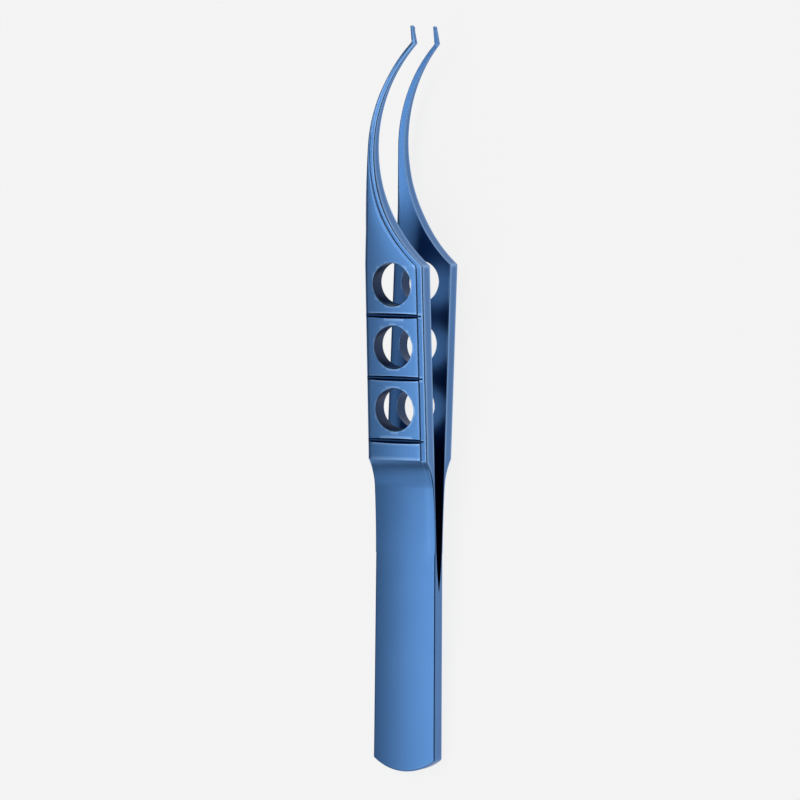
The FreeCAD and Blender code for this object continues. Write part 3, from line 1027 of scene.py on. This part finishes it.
@dataclass(frozen=True)
class GripCuts:
    """Holes and grooves that repeat along one arm's grip pad."""

    side: Side
    profile: ArmProfile
    pitch: float = 7.11
    count: int = 3
    first_groove: float = 37.98
    hole_radius: float = 2.4
    hole_across: float = -0.15
    hole_sides: int = 96
    rim_chamfer: float = 0.12
    groove_width: float = 0.55
    groove_depth: float = 0.34
    groove_floor: float = 0.16
    groove_start: float = -6.0
    groove_reach: float = 3.4
    groove_rim: float = 0.04
    past_face: float = 0.5
    margin: float = 0.02
    end_margin: float = 0.05
    groove_facing: float = 0.4
    hole_facing: float = 0.3

    def cutter(self, name: str, rings: list[list[Vector]]) -> Object:
        """Skin a cutter, then lean it like the pad of its side.

        Args:
            name: the cutter's name.
            rings: its rings about the pad's face.

        Returns:
            The cutter at the drawing's origin.
        """
        made = loft(name, rings)
        lean = Matrix.Rotation(math.atan(self.profile.pad_lean), 4, "X")
        flip = Matrix.Diagonal((1.0, 1.0, float(self.side.value), 1.0))
        made.data.transform(flip @ lean)
        if self.side is Side.REAR:
            made.data.flip_normals()
        return made

    def hole_cutter(self) -> Object:
        """Make a drill that also chamfers the hole's rim.

        Returns:
            The drill, drawn about the pad's face.
        """
        rim = self.hole_radius + self.rim_chamfer
        heights = [
            (rim + self.past_face, self.past_face), (rim, 0.0),
            (self.hole_radius, -self.rim_chamfer),
            (self.hole_radius, -self.profile.thickness - self.past_face)]
        angles = [2 * math.pi * i / self.hole_sides for i in range(self.hole_sides)]
        return self.cutter("hole_cutter", [
            [Vector((r * math.cos(t), r * math.sin(t), h)) for t in angles] for r, h in heights])

    def groove_cutter(self) -> Object:
        """Make the cutter of a groove with sloping walls and broken rims.

        Returns:
            The cutter, drawn about the pad's face.
        """
        half, floor = self.groove_width / 2, self.groove_floor / 2
        over = self.groove_rim + self.past_face
        outline = [
            (-floor, -self.groove_depth), (floor, -self.groove_depth),
            (half, -self.groove_rim), (half + over, self.past_face),
            (-half - over, self.past_face), (-half, -self.groove_rim)]
        return self.cutter("groove_cutter", [
            [Vector((u, v, w)) for v, w in outline]
            for u in (self.groove_start, self.groove_reach)])

    def tree(self) -> NodeTree:
        """Build the tree that repeats the cutters and takes them out.

        Returns:
            A geometry tree whose named inputs are the cuts' sizes.
        """
        tree = bpy.data.node_groups.new("grip_cuts", "GeometryNodeTree")
        face = tree.interface
        inputs = (
            ("Geometry", "NodeSocketGeometry"),
            ("Hole Cutter", "NodeSocketObject"), ("Groove Cutter", "NodeSocketObject"),
            ("First Hole", "NodeSocketVector"), ("First Groove", "NodeSocketVector"),
            ("Step", "NodeSocketVector"), ("Count", "NodeSocketInt"),
            ("Finish", "NodeSocketMaterial"))
        for name, kind in inputs:
            face.new_socket(name, in_out="INPUT", socket_type=kind)
        face.new_socket("Geometry", in_out="OUTPUT", socket_type="NodeSocketGeometry")
        given = add_node(tree, "NodeGroupInput").outputs
        body = given["Geometry"]
        for cutter, start in (("Hole Cutter", "First Hole"), ("Groove Cutter", "First Groove")):
            row = add_node(
                tree, "GeometryNodeMeshLine", {"mode": "OFFSET"},
                {"Count": given["Count"], "Start Location": given[start],
                 "Offset": given["Step"]})
            shape = add_node(
                tree, "GeometryNodeObjectInfo", {"transform_space": "ORIGINAL"},
                {"Object": given[cutter]})
            set_out = add_node(
                tree, "GeometryNodeInstanceOnPoints", None,
                {"Points": row.outputs[0], "Instance": shape.outputs["Geometry"]})
            real = add_node(tree, "GeometryNodeRealizeInstances", None, {0: set_out.outputs[0]})
            less = add_node(
                tree, "GeometryNodeMeshBoolean", {"operation": "DIFFERENCE", "solver": "EXACT"},
                {"Mesh 1": body, "Mesh 2": real.outputs[0]})
            body = less.outputs["Mesh"]
        real = add_node(tree, "GeometryNodeRealizeInstances", None, {0: body})
        dressed = add_node(
            tree, "GeometryNodeSetMaterial", None,
            {"Geometry": real.outputs[0], "Material": given["Finish"]})
        add_node(tree, "NodeGroupOutput", None, {"Geometry": dressed.outputs[0]})
        return tree

    def cut(self, blank: Object, finish: Material) -> None:
        """Drill and groove the pad with the tree of repeated cuts.

        Args:
            blank: the lofted arm, which becomes the cut one.
            finish: the material that the tree sets.
        """
        profile, sign = self.profile, self.side.value
        first_hole = self.first_groove + self.pitch / 2
        sizes = {
            "Hole Cutter": self.hole_cutter(),
            "Groove Cutter": self.groove_cutter(),
            "First Hole": (self.hole_across, first_hole, profile.pad(first_hole) * sign),
            "First Groove": (0.0, self.first_groove, profile.pad(self.first_groove) * sign),
            "Step": (0.0, self.pitch, self.pitch * profile.pad_lean * sign),
            "Count": self.count,
            "Finish": finish,
        }
        cuts = blank.modifiers.new("grip_cuts", "NODES")
        cuts.node_group = self.tree()
        for item in cuts.node_group.interface.items_tree:
            if item.item_type == "SOCKET" and item.in_out == "INPUT" and item.name in sizes:
                cuts[item.identifier] = sizes[item.name]
        apply_modifiers(blank)
        bpy.data.objects.remove(sizes["Hole Cutter"])
        bpy.data.objects.remove(sizes["Groove Cutter"])

    def painted_shade_share(self, face: MeshPolygon) -> float | None:
        """Share of painted shade on a face in a hole or groove.

        Args:
            face: a face of the cut arm, in the drawing's millimetres.

        Returns:
            1 in holes and grooves, 0 on a groove's end wall, and None outside the cuts.
        """
        u, v, w = face.center
        depth = self.profile.pad(v) - w * self.side.value
        along = v - self.profile.pad_lean * depth - self.first_groove
        nearest = round(along / self.pitch)
        beside = abs(along - self.pitch * nearest) < self.groove_width / 2 + self.margin
        in_reach = u < self.groove_reach + self.end_margin
        if beside and 0 <= nearest < self.count and in_reach:
            if depth < self.groove_depth + self.margin:
                on_floor = depth > self.groove_depth - self.end_margin
                return float(on_floor or abs(face.normal.y) > self.groove_facing)
        drilled = math.floor(along / self.pitch)
        from_axis = math.hypot(u - self.hole_across, along - self.pitch * (drilled + 0.5))
        if 0 <= drilled < self.count and from_axis < self.hole_radius + self.margin:
            if abs(face.normal.z) < self.hole_facing:
                return 1.0
        return None


@dataclass(frozen=True)
class Teeth:
    """The rear tip's single tooth, or the front tip's two, which it meshes between."""

    side: Side
    profile: ArmProfile
    middle: float = 1.39
    height: float = 0.12
    foot: float = 84.45
    crest: float = 84.7
    half_crest: float = 0.01
    end: float = 84.8
    root: float = 0.05
    gap: float = 0.015
    single_width: float = 0.11
    side_width: float = 0.10

    def tooth(self, middle: float, width: float) -> Object:
        """Make one tooth that slants towards its crest.

        Args:
            middle: its middle across the tip.
            width: its width.

        Returns:
            The tooth, rooted in the tip's inner face.
        """
        flat = self.profile.inner(self.crest)
        outline = [
            (self.foot, flat + self.root), (self.foot, flat),
            (self.crest - self.half_crest, flat - self.height),
            (self.crest + self.half_crest, flat - self.height),
            (self.end, flat), (self.end, flat + self.root)]
        sign = self.side.value
        rings = [
            [Vector((u, v, w * sign)) for v, w in outline]
            for u in (middle - width / 2, middle + width / 2)]
        return loft("tooth", rings)

    def build(self) -> list[Object]:
        """Make the teeth of this side's tip.

        Returns:
            One tooth at the rear, two at the front.
        """
        if self.side is Side.REAR:
            return [self.tooth(self.middle, self.single_width)]
        aside = self.single_width / 2 + self.gap + self.side_width / 2
        return [self.tooth(self.middle + turn * aside, self.side_width) for turn in (-1, 1)]


@dataclass
class Arm:
    """One milled arm: leaf spring, scoop, stepped and drilled pad, neck, jaw and teeth."""

    side: Side
    profile: ArmProfile
    cuts: GripCuts
    teeth: Teeth
    dressing: Dressing
    facing_in: Point2 = (0.5, 0.9)
    # the painted shade on the inner faces fades out over these stations along the neck
    painted_shade_fade: Point2 = (60.0, 67.0)

    def ring(self, v: float) -> list[Vector]:
        """One ring round the arm at a station, from the right outer edge over the back."""
        section = Section(self.profile, v)
        outline = section.right_back() + section.left_back() + section.inside()
        return [Vector((u, v, w * self.side.value)) for u, w in outline]

    def painted_shade_share(self, face: MeshPolygon) -> float:
        """Share of painted shade on a face.

        Args:
            face: a face of the cut arm, in the drawing's millimetres.

        Returns:
            The cuts' own share, or that of the inner face, which fades along the neck.
        """
        in_cut = self.cuts.painted_shade_share(face)
        if in_cut is not None:
            return in_cut
        facing = eased(-face.normal.z * self.side.value, *self.facing_in)
        fade = 1 - eased(face.center.y, *self.painted_shade_fade)
        return self.profile.faces.inner_painted_shade * facing * fade

    def build(self) -> Object:
        """Make the arm, hide the imported arm, and bake the piece's place into its mesh.

        Returns:
            The finished piece.
        """
        profile, sign = self.profile, self.side.value
        node = "front_arm" if self.side is Side.FRONT else "rear_arm"
        piece = loft(node + "_anodised", [self.ring(v) for v in profile.stations()])
        self.cuts.cut(piece, self.dressing.finish)
        join(piece, self.teeth.build())
        # Painted shade in the holes, grooves and on the inner faces.
        mark_faces(piece.data, "painted_shade", self.painted_shade_share)
        self.dressing.put_on(piece)
        outer = profile.faces.tail_half_thickness * sign
        start, end = (
            self.dressing.rest.matrix() @ Vector((0.0, v, outer))
            for v in (profile.faces.split, profile.leaf_end))
        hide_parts(node)
        tuple(start)
        tuple(end)
        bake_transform(piece)
        return piece


def shown_white(tree: NodeTree, seen: float, mirrored: float) -> NodeSocket:
    """Tell how white floor or room shows, by the kind of ray that meets it.

    Args:
        tree: the tree of the floor's material or the room's world.
        seen: its whiteness to the camera.
        mirrored: its whiteness in the metal's reflections.

    Returns:
        The whiteness, which is 0 for a ray that a matt surface scatters.
    """
    path = add_node(tree, "ShaderNodeLightPath").outputs
    looked_at = add_node(
        tree, "ShaderNodeMath", {"operation": "MAXIMUM"},
        {0: path["Is Camera Ray"], 1: path["Is Transmission Ray"]})
    direct = add_node(
        tree, "ShaderNodeMath", {"operation": "MULTIPLY"}, {0: looked_at.outputs[0], 1: seen})
    in_metal = add_node(
        tree, "ShaderNodeMath", {"operation": "MULTIPLY"},
        {0: path["Is Glossy Ray"], 1: mirrored})
    either = add_node(
        tree, "ShaderNodeMath", {"operation": "MAXIMUM"},
        {0: direct.outputs[0], 1: in_metal.outputs[0]})
    return either.outputs[0]


@dataclass(frozen=True)
class Softbox:
    """A rectangular lamp that faces the instrument: metres, across and along, and watts."""

    name: str
    place: Point3
    size: Point2
    power: float

    def hang(self) -> Object:
        """Hang the lamp.

        Returns:
            The lamp, its second size along the instrument.
        """
        light = bpy.data.lights.new(self.name, "AREA")
        light.shape = "RECTANGLE"
        light.size, light.size_y = self.size
        light.energy = self.power
        made = placed(self.name, light)
        back = Vector(self.place).normalized()
        right = Vector((0.0, 1.0, 0.0)).cross(back).normalized()
        made.matrix_world = stance(self.place, right, back.cross(right), back)
        return made


@dataclass(frozen=True)
class Studio:
    """Floor, lamps, backdrop and camera, in metres."""

    over: Softbox = Softbox("softbox_over", (-0.135, 0.05, 0.60), (0.37, 0.75), 1.3)
    tail_end: Softbox = Softbox("softbox_tail_end", (-0.20, -0.60, 0.50), (0.6, 0.6), 0.85)
    white: str = "ffffff"
    paper: str = "f2f2f2"
    paper_roughness: float = 0.5
    floor_half: float = 1.5
    floor_seen: float = 0.85
    floor_mirrored: float = 0.6
    backdrop_seen: float = 1.0
    backdrop_mirrored: float = 0.06
    room: float = 0.06
    focal_mm: float = 225.0
    sensor_mm: float = 36.0
    nearest: float = 0.01
    farthest: float = 20.0
    camera_at: Point3 = (0.262766, 0.001428, 0.509277)
    camera_right: Point3 = (0.885697, 0.036658, -0.462815)
    camera_up: Point3 = (-0.033753, 0.999324, 0.014558)
    camera_back: Point3 = (0.463035, 0.002728, 0.886336)

    def paper_material(self) -> Material:
        """Build the floor's material.

        Returns:
            Matt paper, which shows nearly white and keeps the shadow.
        """
        # Studio paper is matt and white: it has no highlight, only the soft shadow.
        made = bpy.data.materials.new("studio_paper_matt_white")
        tree = cleared_tree(made)
        matt = add_node(
            tree, "ShaderNodeBsdfDiffuse", None,
            {"Color": linear(self.paper), "Roughness": self.paper_roughness})
        glow = add_node(
            tree, "ShaderNodeEmission", None, {"Color": linear(self.white), "Strength": 1.0})
        share = shown_white(tree, self.floor_seen, self.floor_mirrored)
        both = add_node(
            tree, "ShaderNodeMixShader", None,
            {0: share, 1: matt.outputs[0], 2: glow.outputs[0]})
        add_node(tree, "ShaderNodeOutputMaterial", None, {"Surface": both.outputs[0]})
        return made

    def floor(self) -> Object:
        """Lay a plain floor.

        Returns:
            The floor.
        """
        half = self.floor_half
        mesh = bpy.data.meshes.new("floor")
        mesh.from_pydata(
            [(-half, -half, 0.0), (half, -half, 0.0), (half, half, 0.0), (-half, half, 0.0)],
            [], [(0, 1, 2, 3)])
        mesh.materials.append(self.paper_material())
        made = placed("floor", mesh)
        return made

    def backdrop(self) -> None:
        """Light the room dimly and evenly, and show it white behind the floor's edge."""
        world = bpy.data.worlds.new("pale_room")
        tree = cleared_tree(world)
        shown = shown_white(tree, self.backdrop_seen, self.backdrop_mirrored)
        strength = add_node(
            tree, "ShaderNodeMath", {"operation": "MAXIMUM"}, {0: shown, 1: self.room})
        room = add_node(
            tree, "ShaderNodeBackground", None,
            {"Color": linear(self.white), "Strength": strength.outputs[0]})
        add_node(tree, "ShaderNodeOutputWorld", None, {"Surface": room.outputs[0]})
        bpy.context.scene.world = world

    def camera(self) -> Object:
        """Set the camera at the photograph's viewing angle.

        Returns:
            The camera, which is the scene's own.
        """
        lens = bpy.data.cameras.new("camera")
        lens.sensor_width = self.sensor_mm
        lens.lens = self.focal_mm
        lens.clip_start = self.nearest
        lens.clip_end = self.farthest
        made = placed("camera", lens)
        made.matrix_world = stance(
            self.camera_at, self.camera_right, self.camera_up, self.camera_back)
        bpy.context.scene.camera = made
        return made


def main() -> None:
    """Build the forceps piece by piece, dress it and set up the studio."""
    logging.basicConfig(level=logging.INFO, format="%(name)s: %(message)s")
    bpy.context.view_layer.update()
    bpy.context.scene.view_settings.view_transform = "Standard"
    faces = Faces()
    profile = ArmProfile(faces)
    dressing = Dressing(AnodisedTitanium().material(), Rest(), EdgeWearAndHighlight(), faces.split)
    parts: list[Tail | Arm] = [Tail(faces, dressing)]
    for side in Side:
        parts.append(
            Arm(side, profile, GripCuts(side, profile), Teeth(side, profile), dressing))
    for part in parts:
        piece = part.build()
        log.info("%s: %d faces", piece.name, len(piece.data.polygons))
    studio = Studio()
    for made in (studio.floor(), studio.camera(), studio.over.hang(), studio.tail_end.hang()):
        log.info("%s is in place", made.name)
    studio.backdrop()


if __name__ == "__main__":
    main()
